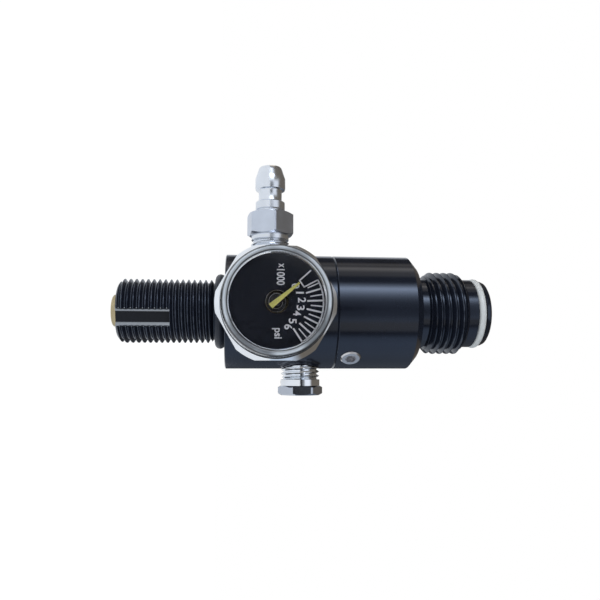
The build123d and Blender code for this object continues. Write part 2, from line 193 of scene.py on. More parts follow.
def spread(tree, factor, low, high):
    """A number that follows a factor between 0 and 1 from low to high."""
    return fit(tree, factor, 0.0, 1.0, low, high)

# %% [markdown]
# ## The studio
# Polished metal shows its surroundings, so the light is a studio all round the regulator: a strong soft box
# above the gauge, dark gaps beside it that give the turned metal its bands, and an even pale table light
# below. It could be built from area lamps, but one world needs no placing and gives every band a soft edge.
# The world's colour depends on the angle round the regulator's axis, read from the ray's direction. Each band
# is an angle in degrees, a brightness and a tint.

# %% The bands of light round the axis
COOL = (0.94, 0.98, 1.06)
WARM = (1.14, 1.0, 0.84)
BLUE = (0.84, 0.97, 1.16)
STUDIO_BANDS = [
    (-180, 0.1, COOL), (-150, 0.85, COOL), (-138, 0.05, COOL), (-118, 0.05, WARM), (-109, 0.5, WARM),
    (-102, 0.3, WARM), (-95, 1.5, WARM), (-84, 0.55, WARM), (-76, 0.6, WARM), (-70, 0.1, COOL),
    (-58, 0.15, COOL), (-51, 2.0, COOL), (-44, 6.1, COOL), (-38, 4.3, COOL), (-32, 2.4, COOL),
    (-24, 1.0, COOL), (-16, 0.4, COOL), (-4, 0.2, COOL), (10, 0.3, COOL), (20, 0.65, COOL),
    (27, 0.6, WARM), (40, 0.55, WARM), (45, 0.05, COOL), (49, 0.1, COOL), (58, 0.65, BLUE),
    (70, 0.75, BLUE), (95, 0.6, BLUE), (120, 0.32, BLUE), (160, 0.09, BLUE), (180, 0.1, COOL),
]
STUDIO_PEAK = 6.5


def grey_ramp(tree, factor, stops):
    """Colour ramp of greys from (position, level) stops."""
    return ramp(tree, factor, [(at, (level,) * 3) for at, level in stops])


def banded_light(tree, towards):
    """Light of the bands, by the angle round the regulator's axis; towards holds a direction's X, Y and Z."""
    angle = arithmetic(tree, "ARCTAN2", towards["X"], arithmetic(tree, "MULTIPLY", towards["Y"], -1.0))
    stops = [
        ((degrees + 180) / 360, tuple(level / STUDIO_PEAK * c for c in tint))
        for degrees, level, tint in STUDIO_BANDS
    ]
    return ramp(tree, fit(tree, angle, -math.pi, math.pi), stops)


print("studio bands:", len(STUDIO_BANDS))

# %% [markdown]
# ## The studio's ends
# Steep directions along the axis see other things. Towards the ends the bands turn to a dim warm wall with
# one bright strip across it, and a small black card hangs just in front of the gauge. They give the plated
# fittings their dark flanks and middles, and they keep the gauge's cover clear.

# %% The far end and the card
ENDWISE = [(0.0, 0.0), (0.30, 0.0), (0.45, 1.0), (1.0, 1.0)]
FAR_WALL = 0.14
STRIP_LEVEL = 0.95
STRIP_ALONG = [(0.0, 1.0), (0.80, 1.0), (0.93, 0.0), (1.0, 0.0)]
STRIP_SIDES = (0.3, 0.42)
CARD_CENTRE = (-0.045, 0.0, 0.02)
CARD_HALF = (0.15, 0.16)
CARD_EDGE = (0.85, 1.1)
CARD_DARKNESS = 0.92


def far_end(tree, towards):
    """Light of the end wall with its strip, which shows only on the gauge's side."""
    beside = fit(tree, arithmetic(tree, "ABSOLUTE", towards["X"]), *STRIP_SIDES, 1.0, 0.0)
    inside = arithmetic(tree, "MULTIPLY", beside, grey_ramp(tree, towards["Z"], STRIP_ALONG))
    inside = arithmetic(tree, "MULTIPLY", inside, arithmetic(tree, "LESS_THAN", towards["Y"], 0.0))
    wall = tuple(FAR_WALL / STUDIO_PEAK * c for c in WARM)
    strip = tuple(STRIP_LEVEL / STUDIO_PEAK * c for c in COOL)
    return mix_colours(tree, inside, wall, strip)


def card_cover(tree, direction, towards):
    """How far the card hides a direction: it is an oval with a soft edge on the gauge's side."""
    off_centre = vector_step(tree, "SUBTRACT", direction, CARD_CENTRE)
    off_centre = vector_step(tree, "MULTIPLY", off_centre, (1 / CARD_HALF[0], 0.0, 1 / CARD_HALF[1]))
    covered = fit(tree, length_of(tree, off_centre), *CARD_EDGE, CARD_DARKNESS, 0.0)
    return arithmetic(tree, "MULTIPLY", covered, arithmetic(tree, "LESS_THAN", towards["Y"], 0.0))


print("card half sizes:", CARD_HALF)

# %% [markdown]
# ## Putting the studio together
# The world mixes the bands, the far end and the card. Matte surfaces gather light from everywhere, so rays
# that leave one get a little more of it, and pale print stays pale beside mirror-bright metal. The camera
# itself sees plain white behind the object.

# %% Light the studio
DIFFUSE_LIFT = 0.45


def studio_light():
    """World that lights the object from the bands, the far end and the card, and looks plain white."""
    world = bpy.data.worlds.new("studio")
    world.use_nodes = True
    tree = world.node_tree
    tree.nodes.clear()
    direction = put(tree, "ShaderNodeTexCoord").outputs["Generated"]
    towards = put(tree, "ShaderNodeSeparateXYZ", {"Vector": direction}).outputs
    endwise = grey_ramp(tree, arithmetic(tree, "ABSOLUTE", towards["Z"]), ENDWISE)
    lit = mix_colours(tree, endwise, banded_light(tree, towards), far_end(tree, towards))
    lit = mix_colours(tree, card_cover(tree, direction, towards), lit, (0.0, 0.0, 0.0))
    ray = put(tree, "ShaderNodeLightPath").outputs
    matte = arithmetic(tree, "MAXIMUM", ray["Is Diffuse Ray"], ray["Is Transmission Ray"])
    strength = arithmetic(tree, "MULTIPLY", matte, DIFFUSE_LIFT * STUDIO_PEAK)
    strength = arithmetic(tree, "ADD", strength, STUDIO_PEAK)
    soft = put(tree, "ShaderNodeBackground", {"Color": lit, "Strength": strength})
    plain = put(tree, "ShaderNodeBackground", {"Color": (1, 1, 1, 1), "Strength": 1.0})
    either = put(tree, "ShaderNodeMixShader", {
        0: ray["Is Camera Ray"], 1: soft.outputs[0], 2: plain.outputs[0],
    })
    put(tree, "ShaderNodeOutputWorld", {"Surface": either.outputs[0]})
    bpy.context.scene.world = world
    return tree


print("studio nodes:", len(studio_light().nodes))

# %% [markdown]
# ## The floor
# A pale floor lies just under the stem's end. It is a small sheet, so that its far edge stays out of the
# reflections in the gauge's cover. The camera sees it nearly white, as it sees the world behind it.

# %% Lay the floor
FLOOR_HALF = 0.6
FLOOR_GAP = 0.02 * MM
PAPER_GLOW = (0.90, 0.95, 1.0, 1)
PAPER_GLOW_STRENGTH = 0.6
WHITE_GLOW_STRENGTH = 1.1
WHITE_GLOW_SHARE = 0.8


def paper_finish():
    """Bright matte paper with a barely visible mottle, glowing a little so that its shadows stay soft."""
    material = bpy.data.materials.new("pale_floor")
    material.use_nodes = True
    tree = material.node_tree
    shader = tree.nodes["Principled BSDF"]
    place = put(tree, "ShaderNodeTexCoord").outputs["Object"]
    mottle = put(tree, "ShaderNodeTexNoise", {"Vector": place, "Scale": 40.0})
    tone = ramp(tree, mottle.outputs["Fac"], [(0.3, (0.84, 0.86, 0.88)), (0.7, (0.88, 0.9, 0.93))])
    tree.links.new(tone, shader.inputs["Base Color"])
    shader.inputs["Roughness"].default_value = 0.9
    shader.inputs["Specular IOR Level"].default_value = 0.1
    shader.inputs["Emission Color"].default_value = PAPER_GLOW
    shader.inputs["Emission Strength"].default_value = PAPER_GLOW_STRENGTH
    glow = put(tree, "ShaderNodeEmission", {"Color": (1, 1, 1, 1), "Strength": WHITE_GLOW_STRENGTH})
    seen = put(tree, "ShaderNodeLightPath").outputs["Is Camera Ray"]
    share = arithmetic(tree, "MULTIPLY", seen, WHITE_GLOW_SHARE)
    blend = put(tree, "ShaderNodeMixShader", {0: share, 1: shader.outputs[0], 2: glow.outputs[0]})
    tree.links.new(blend.outputs[0], tree.nodes["Material Output"].inputs["Surface"])
    return material


floor_mesh = bpy.data.meshes.new("floor")
floor_z = cad_low.z - FLOOR_GAP
corners = [(-1, -1), (1, -1), (1, 1), (-1, 1)]
floor_mesh.from_pydata([(x * FLOOR_HALF, y * FLOOR_HALF, floor_z) for x, y in corners], [], [(0, 1, 2, 3)])
floor = bpy.data.objects.new("floor", floor_mesh)
floor.data.materials.append(paper_finish())
bpy.context.scene.collection.objects.link(floor)
print("floor at", round(floor_z / MM, 2), "half width", FLOOR_HALF)

# %% [markdown]
# ## Finishes
# Each finish is one function that returns a material made only of nodes.

# %% Start a finish
def start_finish(name, **sockets):
    """New material with its constant values set on the shader; returns material, tree, shader and place."""
    material = bpy.data.materials.new(name)
    material.use_nodes = True
    tree = material.node_tree
    shader = tree.nodes["Principled BSDF"]
    for socket, value in sockets.items():
        shader.inputs[socket.replace("_", " ")].default_value = value
    place = put(tree, "ShaderNodeTexCoord").outputs["Object"]
    return material, tree, shader, place


def stretched_noise(tree, place, scale, detail=3.0):
    """Noise whose grain is stretched by giving each axis its own scale, in grains a metre."""
    fitted = put(tree, "ShaderNodeMapping", {"Vector": place, "Scale": scale})
    inputs = {"Vector": fitted.outputs["Vector"], "Scale": 1.0, "Detail": detail}
    return put(tree, "ShaderNodeTexNoise", inputs).outputs["Fac"]


def bump(tree, shader, height, distance, strength=1.0):
    """Small relief on a shader, distance in metres."""
    made = put(tree, "ShaderNodeBump", {"Height": height, "Distance": distance, "Strength": strength})
    tree.links.new(made.outputs["Normal"], shader.inputs["Normal"])


def clouded(tree, shader, noise, dark_share, tone):
    """Base colour that drifts with a noise between a share of the tone and the tone itself."""
    dark = tuple(c * dark_share for c in tone)
    tree.links.new(ramp(tree, noise, [(0.3, dark), (0.7, tone)]), shader.inputs["Base Color"])


def uneven_gloss(tree, shader, noise, roughness, smoother, rougher):
    """Roughness that a noise moves a little below and above its value."""
    low, high = roughness - smoother, roughness + rougher
    tree.links.new(spread(tree, noise, low, high), shader.inputs["Roughness"])

# %% [markdown]
# ## Black anodising
# Anodised aluminium is metal under a thin dyed oxide layer. The dye swallows the metal's own shine, so the
# surface looks like dark blue-grey glass over fine turning marks. It could be a metal with a dark base
# colour, but a dark dielectric keeps both the deep shadows and the sharp highlight of a soft box. The turning
# marks come from a noise that is squeezed along the axis, and thread crests are rubbed paler where hands and
# fittings touch them.

# %% Anodised aluminium
TURNING_GRAIN = (60, 60, 9000)
DYE_GRAIN = (120, 120, 120)
WEAR_GRAIN = (500, 500, 500)
WORN_BETWEEN = (0.42, 0.62)
RUBBED_DEPTH = 0.16 * MM
RUBBED_TONE = (0.045, 0.052, 0.068)
OXIDE_TINT = (0.64, 0.77, 1.0, 1)
TURNING_RELIEF = 0.004 * MM


def rubbed(tree, place, crest_radius, beyond, towards_outlet):
    """Mask of the thread crests: high at the crest radius on one side of a height, broken up by noise."""
    height = put(tree, "ShaderNodeSeparateXYZ", {"Vector": place}).outputs["Z"]
    side = arithmetic(tree, "GREATER_THAN" if towards_outlet else "LESS_THAN", height, beyond)
    radius = length_of(tree, vector_step(tree, "MULTIPLY", place, (1.0, 1.0, 0.0)))
    near = fit(tree, radius, crest_radius - RUBBED_DEPTH, crest_radius)
    worn = fit(tree, stretched_noise(tree, place, WEAR_GRAIN, 4.0), *WORN_BETWEEN)
    return arithmetic(tree, "MULTIPLY", arithmetic(tree, "MULTIPLY", near, side), worn)


def anodised(name, tone, roughness, crest_radius, beyond, towards_outlet):
    """Dyed anodising over fine turned rings, rubbed on the thread crests."""
    material, tree, shader, place = start_finish(
        name, Specular_IOR_Level=0.55, Specular_Tint=OXIDE_TINT, Metallic=0.0
    )
    rings = stretched_noise(tree, place, TURNING_GRAIN)
    cloud = stretched_noise(tree, place, DYE_GRAIN, 4.0)
    dark = tuple(c * 0.85 for c in tone)
    light = tuple(c * 1.15 for c in tone)
    dyed = ramp(tree, cloud, [(0.3, dark), (0.7, light)])
    crests = rubbed(tree, place, crest_radius, beyond, towards_outlet)
    tree.links.new(mix_colours(tree, crests, dyed, RUBBED_TONE), shader.inputs["Base Color"])
    uneven_gloss(tree, shader, rings, roughness, 0.04, 0.05)
    bump(tree, shader, rings, TURNING_RELIEF, 0.5)
    return material

# %% [markdown]
# ## Bright metal
# The gauge's case and the plug are chromed, the fill nipple is nickel with a satin face, and the screw and
# pins are plain steel. All are full metals: what tells them apart is how sharp their reflections are. A faint
# cloudiness in colour and roughness stands for handling.

# %% Bright plate
HANDLING_GRAIN = (300, 300, 300)
FINE_RELIEF = 0.01 * MM


def bright_plate(name, tone, roughness):
    """Nickel, chrome or bare metal with faint handling marks."""
    material, tree, shader, place = start_finish(name, Metallic=1.0)
    cloud = stretched_noise(tree, place, HANDLING_GRAIN, 5.0)
    clouded(tree, shader, cloud, 0.9, tone)
    uneven_gloss(tree, shader, cloud, roughness, 0.04, 0.06)
    bump(tree, shader, cloud, FINE_RELIEF, 0.3)
    return material

# %% [markdown]
# ## Rubber, paint and clear plastic
# The seals are moulded rubber, the dial and its needle are painted, and the gauge's cover is clear
# polycarbonate. The cover's window lets all light through, while its thick rim scatters some of it and looks
# milky, so one function makes both, with its clearness as a value.

# %% Rubber, paint and clear plastic
FLOW_GRAIN = (150, 150, 150)
FLOW_RELIEF = 0.02 * MM
SINTERED_RELIEF = 0.05 * MM
POLYCARBONATE_IOR = 1.585


def plain_stuff(name, tone, roughness, grain=900.0, depth=FINE_RELIEF, metallic=0.0, gloss=0.5):
    """Moulded or painted surface with a fine grain."""
    material, tree, shader, place = start_finish(name, Metallic=metallic, Specular_IOR_Level=gloss)
    grains = stretched_noise(tree, place, (grain, grain, grain), 4.0)
    clouded(tree, shader, grains, 0.88, tone)
    uneven_gloss(tree, shader, grains, roughness, 0.06, 0.06)
    bump(tree, shader, grains, depth, 0.5)
    return material


def clear_moulding(name, clearness, tint, gloss=0.5):
    """Polycarbonate with a faint unevenness from the mould; clearness under 1 makes it milky."""
    material, tree, shader, place = start_finish(
        name, Transmission_Weight=clearness, IOR=POLYCARBONATE_IOR, Specular_IOR_Level=gloss
    )
    flow = stretched_noise(tree, place, FLOW_GRAIN, 2.0)
    clouded(tree, shader, flow, 0.97, tint)
    uneven_gloss(tree, shader, flow, 0.01, 0.0, 0.04)
    bump(tree, shader, flow, FLOW_RELIEF, 0.3)
    return material

# %% Give every node its finish
BODY_TONE = (0.0085, 0.0105, 0.0175)
STEM_CREST = 7.9375 * MM
OUTLET_CREST = 10.4775 * MM
SHOULDER_Z = 0.0
NECK_Z = 50 * MM
finishes = {
    "body_anodised": anodised("body_anodised", BODY_TONE, 0.13, STEM_CREST, SHOULDER_Z, False),
    "bonnet_anodised": anodised("bonnet_anodised", BODY_TONE, 0.12, OUTLET_CREST, NECK_Z, True),
    "black_rubber": plain_stuff("black_rubber", (0.016, 0.021, 0.034), 0.38, gloss=0.3),
    "grey_urethane": plain_stuff("grey_urethane", (0.64, 0.67, 0.67), 0.35),
    "bright_plate": bright_plate("bright_plate", (0.78, 0.82, 0.88), 0.22),
    "gauge_plate": bright_plate("gauge_plate", (0.87, 0.90, 0.94), 0.10),
    "brass": bright_plate("brass", (0.52, 0.43, 0.26), 0.22),
    "sintered_bronze": plain_stuff("sintered_bronze", (0.45, 0.3, 0.16), 0.6, 2500, SINTERED_RELIEF, 0.8),
    "copper": bright_plate("copper", (0.75, 0.4, 0.25), 0.3),
    "spring_steel": bright_plate("spring_steel", (0.5, 0.5, 0.5), 0.3),
    "screw_steel": bright_plate("screw_steel", (0.62, 0.62, 0.64), 0.22),
    "stainless": bright_plate("stainless", (0.65, 0.65, 0.66), 0.25),
    "acetal": plain_stuff("acetal", (0.85, 0.85, 0.82), 0.4),
    "dial_print": plain_stuff("dial_print", (0.008, 0.011, 0.021), 0.5, gloss=0.15),
    "needle_paint": plain_stuff("needle_paint", (0.90, 0.84, 0.22), 0.5),
    "clear_lens": clear_moulding("clear_lens", 1.0, (0.99, 0.99, 1.0), 0.3),
    "dark_moulding": plain_stuff("dark_moulding", (0.012, 0.012, 0.015), 0.35, gloss=0.3),
}
slot_of = {}
for part in frame["record"]["subparts"]:
    slot_of[part["node"]] = part["material_slot"]
    shown = nodes[part["node"]]
    shown.data.materials.clear()
    shown.data.materials.append(finishes[part["material_slot"]])
print("finishes:", len(finishes), "nodes:", len(slot_of))

# %% [markdown]
# ## The cover's rim
# Seen from the front, the moulding's rim is a set of thin rings: each step under it either catches the light
# or loses it. The steps are inside the plastic, so they are not modelled: their highlights and shade are
# painted here as a ramp of bright and dark rings over the distance from the gauge's axis, bent by a little
# noise and darkened in places by patches of painted shade.

# %% The rings of the rim
# Each step: a radius in mm and the brightness of the ring painted there; bright rings are painted highlights,
# dark rings painted shade.
RIM_PAINTED_RINGS = [
    (9.8, 0.02), (10.2, 0.02), (10.33, 0.9), (10.48, 0.9), (10.6, 0.06), (10.75, 0.06),
    (10.9, 0.5), (11.35, 0.95), (11.5, 0.5), (11.68, 0.015), (12.0, 0.015),
]
RIM_TINT = (0.86, 0.94, 1.02)
RIM_WAVE = 0.35 * MM
RIM_WAVE_MIDDLE = 0.17 * MM
# Colour of the patches of painted shade that darken the rim's rings.
RIM_PAINTED_SHADE = (0.05, 0.055, 0.065)
RIM_WAVE_GRAIN = (120, 120, 120)
SHADE_PATCH_GRAIN = (90, 90, 90)


def stepped_rim(name, steps):
    """The rim's front face with painted highlights and shade, from (radius in mm, brightness) steps."""
    material, tree, shader, place = start_finish(
        name, Transmission_Weight=0.25, IOR=POLYCARBONATE_IOR, Roughness=0.06
    )
    centred = vector_step(tree, "SUBTRACT", place, (0.0, 0.0, GAUGE_Z))
    radius = length_of(tree, vector_step(tree, "MULTIPLY", centred, (1.0, 0.0, 1.0)))
    wave = arithmetic(tree, "MULTIPLY", stretched_noise(tree, place, RIM_WAVE_GRAIN), RIM_WAVE)
    wave = arithmetic(tree, "SUBTRACT", wave, RIM_WAVE_MIDDLE)
    low, high = steps[0][0] * MM, steps[-1][0] * MM
    across = fit(tree, arithmetic(tree, "ADD", radius, wave), low, high)
    stops = [((at * MM - low) / (high - low), tuple(level * c for c in RIM_TINT)) for at, level in steps]
    # Noise patches mix painted shade over the painted rings.
    shade_patches = fit(tree, stretched_noise(tree, place, SHADE_PATCH_GRAIN, 2.0), 0.46, 0.6, 0.0, 0.75)
    rings_and_shade = mix_colours(tree, shade_patches, ramp(tree, across, stops), RIM_PAINTED_SHADE)
    tree.links.new(rings_and_shade, shader.inputs["Base Color"])
    return material


print("rings of the rim:", len(RIM_PAINTED_RINGS))

# %% [markdown]
# ## Finishes for single faces
# Some pieces have more than one finish: the slot's floor is dull and its edges are bare metal, the two hexes
# are less polished than what is round them, and the cover's rim is milky, with painted rings of highlight and
# shade on its front. The dial's print is here too.

# %% Finishes that some faces get
milky_rim = clear_moulding("milky_rim", 0.86, (0.90, 0.94, 1.0))
# The rim's front gets painted rings of highlight and shade.
rim_painted_light = stepped_rim("rim_painted_light", RIM_PAINTED_RINGS)
white_print = plain_stuff("white_print", (0.93, 0.94, 0.97), 0.5)
milled_slot = plain_stuff("milled_slot", (0.012, 0.014, 0.019), 0.4, 1500.0, gloss=0.15)
cut_edge = bright_plate("cut_edge", (0.30, 0.32, 0.35), 0.12)
satin_hex = bright_plate("satin_hex", (0.60, 0.65, 0.74), 0.3)
plug_hex = bright_plate("plug_hex", (0.50, 0.54, 0.61), 0.12)


def finish_faces(piece, finish, chosen):
    """Adds a finish to a piece and gives it to the faces for which chosen is true."""
    piece.data.materials.append(finish)
    index = len(piece.data.materials) - 1
    faces = [face for face in piece.data.polygons if chosen(face)]
    for face in faces:
        face.material_index = index
    print(piece.name, "has", len(faces), "faces of", finish.name)


def from_gauge_axis(face):
    """Distance of a face's middle from the gauge's axis."""
    return math.hypot(face.center.x, face.center.z - GAUGE_Z)


def from_cross_axis(face, height):
    """Distance of a face's middle from a side fitting's axis at a height."""
    return math.hypot(face.center.y, face.center.z - height)


print("materials:", len(bpy.data.materials))

# %% [markdown]
# ## Working on copies of the CAD shapes
# The CAD pieces have parallel rings where the real ones have helical threads. Such a piece is rebuilt here
# from a copy of its own mesh: the rings are cut away, a real ridge is wound in their place, and the result
# stands for the CAD node. The helpers below make a closed copy, turn an outline into a ring-shaped tool,
# and run one boolean at a time.

# %% Copies, turned tools and booleans
SMOOTH_BELOW = math.radians(28)
MERGE_WITHIN = 0.0005 * MM


def new_piece(name, mesh):
    """Links a mesh to the scene under a name."""
    made = bpy.data.objects.new(name, mesh)
    bpy.context.scene.collection.objects.link(made)
    return made


def mesh_from(name, points, faces):
    """Closed mesh with its faces turned outwards."""
    mesh = bpy.data.meshes.new(name)
    mesh.from_pydata(points, [], faces)
    shape = bmesh.new()
    shape.from_mesh(mesh)
    bmesh.ops.recalc_face_normals(shape, faces=shape.faces)
    shape.to_mesh(mesh)
    shape.free()
    return mesh


def merged_copy(node, name):
    """Copy of a CAD node's mesh with its loose triangles joined."""
    mesh = bpy.data.meshes.new(name)
    shape = bmesh.new()
    shape.from_mesh(nodes[node].data)
    bmesh.ops.remove_doubles(shape, verts=shape.verts, dist=MERGE_WITHIN)
    open_edges = sum(1 for edge in shape.edges if not edge.is_manifold)
    shape.to_mesh(mesh)
    shape.free()
    print(name, "from", node, "open edges:", open_edges)
    return new_piece(name, mesh)


def turned_ring(name, outline, place, steps=160):
    """Outline of (radius, height) points in mm, off the axis, turned about local +Z."""
    count = len(outline)
    points = [
        place @ Vector((r * math.cos(turn), r * math.sin(turn), h)) * MM
        for turn in (2 * math.pi * (n + 0.5) / steps for n in range(steps))
        for r, h in outline
    ]
    faces = []
    for n in range(steps):
        here, onward = n * count, (n + 1) % steps * count
        for k in range(count):
            after = (k + 1) % count
            faces.append((here + k, onward + k, onward + after, here + after))
    return new_piece(name, mesh_from(name, points, faces))


def evaluated_mesh(piece):
    """Plain mesh of what a piece's modifiers make."""
    bpy.context.view_layer.update()
    seen = piece.evaluated_get(bpy.context.evaluated_depsgraph_get())
    return bpy.data.meshes.new_from_object(seen)


def carve(piece, tool, operation):
    """Runs one boolean on a piece and throws the tool away."""
    step = piece.modifiers.new("carve", "BOOLEAN")
    step.operation = operation
    step.solver = "MANIFOLD"
    step.object = tool
    result = evaluated_mesh(piece)
    piece.modifiers.clear()
    piece.data = result
    bpy.data.objects.remove(tool)
    assert len(result.polygons), piece.name + " is empty"


def dress(piece, finish, body="regulator"):
    """Smooths a finished piece up to its sharp edges, gives it its finish and lets it ride."""
    shape = bmesh.new()
    shape.from_mesh(piece.data)
    for face in shape.faces:
        face.smooth = True
    for edge in shape.edges:
        edge.smooth = len(edge.link_faces) == 2 and edge.calc_face_angle() < SMOOTH_BELOW
    shape.to_mesh(piece.data)
    shape.free()
    piece.data.materials.clear()
    piece.data.materials.append(finish)
    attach(piece, body)

# %% [markdown]
# ## A thread's ridge in Geometry Nodes
# A screw thread is one trapezoid ridge that climbs its pitch in every turn, so its shape follows a rule and
# needs no modelling by hand. The tree sets points on a helix, sweeps the ridge's section along them and caps
# both ends. Its inputs are the sizes that a thread table gives.

# %% Build the thread tree
def tree_with_inputs(name, floats=(), whole=()):
    """Empty Geometry Nodes tree with named number inputs and a material; returns tree and input sockets."""
    tree = bpy.data.node_groups.new(name, "GeometryNodeTree")
    for label in floats:
        tree.interface.new_socket(label, in_out="INPUT", socket_type="NodeSocketFloat")
    for label in whole:
        tree.interface.new_socket(label, in_out="INPUT", socket_type="NodeSocketInt")
    tree.interface.new_socket("Material", in_out="INPUT", socket_type="NodeSocketMaterial")
    tree.interface.new_socket("Geometry", in_out="OUTPUT", socket_type="NodeSocketGeometry")
    return tree, put(tree, "NodeGroupInput").outputs


def end_tree(tree, geometry, given):
    """Realizes instances, sets the material and connects the output."""
    real = put(tree, "GeometryNodeRealizeInstances", {"Geometry": geometry})
    inputs = {"Geometry": real.outputs[0], "Material": given["Material"]}
    dressed = put(tree, "GeometryNodeSetMaterial", inputs)
    put(tree, "NodeGroupOutput", {"Geometry": dressed.outputs[0]})


def grow(name, tree, **values):
    """Mesh that a tree makes from values given by input name, with underscores for spaces."""
    holder = new_piece(name, bpy.data.meshes.new(name))
    step = holder.modifiers.new("grow", "NODES")
    step.node_group = tree
    identifiers = {item.name: item.identifier for item in tree.interface.items_tree if item.in_out == "INPUT"}
    for label, value in values.items():
        step[identifiers[label.replace("_", " ")]] = value
    result = evaluated_mesh(holder)
    bpy.data.objects.remove(holder)
    return result


FLANK = math.radians(30)
CREST_PARTS = 8.0
CREST_ROUNDING = 0.35
SECTION_TURN = math.radians(-90)


def thread_tree():
    """Ridge of a screw thread about +Z, with a flat crest an eighth of the pitch wide."""
    tree, given = tree_with_inputs(
        "thread_ridge",
        ["Crest Radius", "Pitch", "Depth", "Root Overlap", "Low", "Start Angle"],
        ["Points", "Steps"],
    )
    line = put(tree, "GeometryNodeMeshLine", {"Count": given["Points"]})
    path = put(tree, "GeometryNodeMeshToCurve", {"Mesh": line.outputs[0]})
    steps_along = put(tree, "GeometryNodeInputIndex").outputs[0]
    turns = arithmetic(tree, "DIVIDE", steps_along, given["Steps"])
    angle = arithmetic(tree, "ADD", arithmetic(tree, "MULTIPLY", turns, 2 * math.pi), given["Start Angle"])
    tall = arithmetic(tree, "ADD", given["Depth"], given["Root Overlap"])
    middle = arithmetic(tree, "SUBTRACT", given["Crest Radius"], arithmetic(tree, "MULTIPLY", tall, 0.5))
    spot = put(tree, "ShaderNodeCombineXYZ", {
        "X": arithmetic(tree, "MULTIPLY", arithmetic(tree, "COSINE", angle), middle),
        "Y": arithmetic(tree, "MULTIPLY", arithmetic(tree, "SINE", angle), middle),
        "Z": arithmetic(tree, "ADD", arithmetic(tree, "MULTIPLY", turns, given["Pitch"]), given["Low"]),
    })
    placed = put(tree, "GeometryNodeSetPosition", {"Geometry": path.outputs[0], "Position": spot.outputs[0]})
    level = put(tree, "GeometryNodeSetCurveNormal", {"Curve": placed.outputs[0]}, mode="Z_UP")
    crest = arithmetic(tree, "DIVIDE", given["Pitch"], CREST_PARTS)
    flank = arithmetic(tree, "MULTIPLY", tall, math.tan(FLANK))
    foot = arithmetic(tree, "ADD", crest, arithmetic(tree, "MULTIPLY", flank, 2.0))
    section = put(tree, "GeometryNodeCurvePrimitiveQuadrilateral", {
        "Height": tall, "Bottom Width": foot, "Top Width": crest, "Offset": 0.0,
    }, mode="TRAPEZOID")
    rounding = arithmetic(tree, "MULTIPLY", crest, CREST_ROUNDING)
    rounded = put(tree, "GeometryNodeFilletCurve", {
        "Curve": section.outputs[0], "Count": 2, "Radius": rounding,
    }, mode="POLY")
    outward = put(tree, "GeometryNodeTransform", {
        "Geometry": rounded.outputs[0], "Rotation": (0, 0, SECTION_TURN),
    })
    ridge = put(tree, "GeometryNodeCurveToMesh", {
        "Curve": level.outputs[0], "Profile Curve": outward.outputs[0], "Fill Caps": True,
    })
    end_tree(tree, ridge.outputs[0], given)
    return tree


RIDGE_TREE = thread_tree()
print("thread inputs:", [item.name for item in RIDGE_TREE.interface.items_tree if item.in_out == "INPUT"])

# %% [markdown]
# ## Cutting the four threads
# The bottle stem, the outlet neck, the fill nipple and the burst plug are threaded. For each one the CAD
# rings are cut away down to the root, the ridge is trimmed to the real thread's ends (a chamfer at the
# start, a fading last turn at the shoulder) and joined on. The stem's vent slot is milled last, as in a
# workshop, so that it runs clean through the ridges.

# %% A function that threads one piece
THREAD_STEPS = 96
DEPTH_BY_PITCH = 0.6134
OVERLAP_BY_PITCH = 0.12


def threaded(node, place, crest, pitch, crest_at, ends, clearing, trim):
    """Copy of a CAD node with a helical thread in place of its rings.

    crest_at is the height of a crest at angle 0, ends the heights that the ridge covers, clearing the outline
    cut away and trim the outline that the ridge is kept inside; all in mm, in the fitting's own frame, and
    outlines as (radius, height) points.
    """
    name = node + "_threaded"
    piece = merged_copy(node, name)
    carve(piece, turned_ring("clearing", clearing, place), "DIFFERENCE")
    low = crest_at - math.ceil((crest_at - ends[0]) / pitch) * pitch
    turns = math.ceil((ends[1] - low) / pitch)
    mesh = grow(
        "ridge", RIDGE_TREE, Crest_Radius=crest * MM, Pitch=pitch * MM, Depth=DEPTH_BY_PITCH * pitch * MM,
        Root_Overlap=OVERLAP_BY_PITCH * pitch * MM, Low=low * MM, Start_Angle=0.0,
        Points=turns * THREAD_STEPS + 1, Steps=THREAD_STEPS, Material=finishes[slot_of[node]],
    )
    widest = max(math.hypot(v.co.x, v.co.y) for v in mesh.vertices) / MM
    print(name, "crest radius", round(widest, 3), "turns", turns)
    shape = bmesh.new()
    shape.from_mesh(mesh)
    bmesh.ops.transform(shape, matrix=to_metres(place), verts=shape.verts)
    bmesh.ops.remove_doubles(shape, verts=shape.verts, dist=1e-8)
    bmesh.ops.recalc_face_normals(shape, faces=shape.faces)
    shape.to_mesh(mesh)
    shape.free()
    ridge = new_piece("ridge", mesh)
    carve(ridge, turned_ring("trim", trim, place), "INTERSECT")
    carve(piece, ridge, "UNION")
    return piece


def to_metres(place):
    """The same placing for a shape that is already in metres."""
    scaled = place.copy()
    scaled.translation = place.translation * MM
    return scaled


def fitting_frame(height, out, along):
    """Frame on the axis at a height in mm, with local +Z pointing out and local +X along."""
    side = Vector(out).cross(Vector(along))
    turn = Matrix((along, side, out)).transposed()
    return Matrix.Translation((0, 0, height)) @ turn.to_4x4()


ON_AXIS = Matrix.Identity(4)

# %% Thread the bottle stem and mill its slot
STEM_PITCH = 25.4 / 18
SLOT_ANGLE = math.radians(18.4)
SLOT_HALF = 2.3
SLOT_FLOOR = 6.1
SLOT_CORNER = 1.1
SLOT_TOP = -13.1
SLOT_BELOW = -27.0
OUTSIDE_STEM = 9.5
SLOT_OUT = Vector((math.sin(SLOT_ANGLE), -math.cos(SLOT_ANGLE), 0))
SLOT_SIDE = Vector((math.cos(SLOT_ANGLE), math.sin(SLOT_ANGLE), 0))


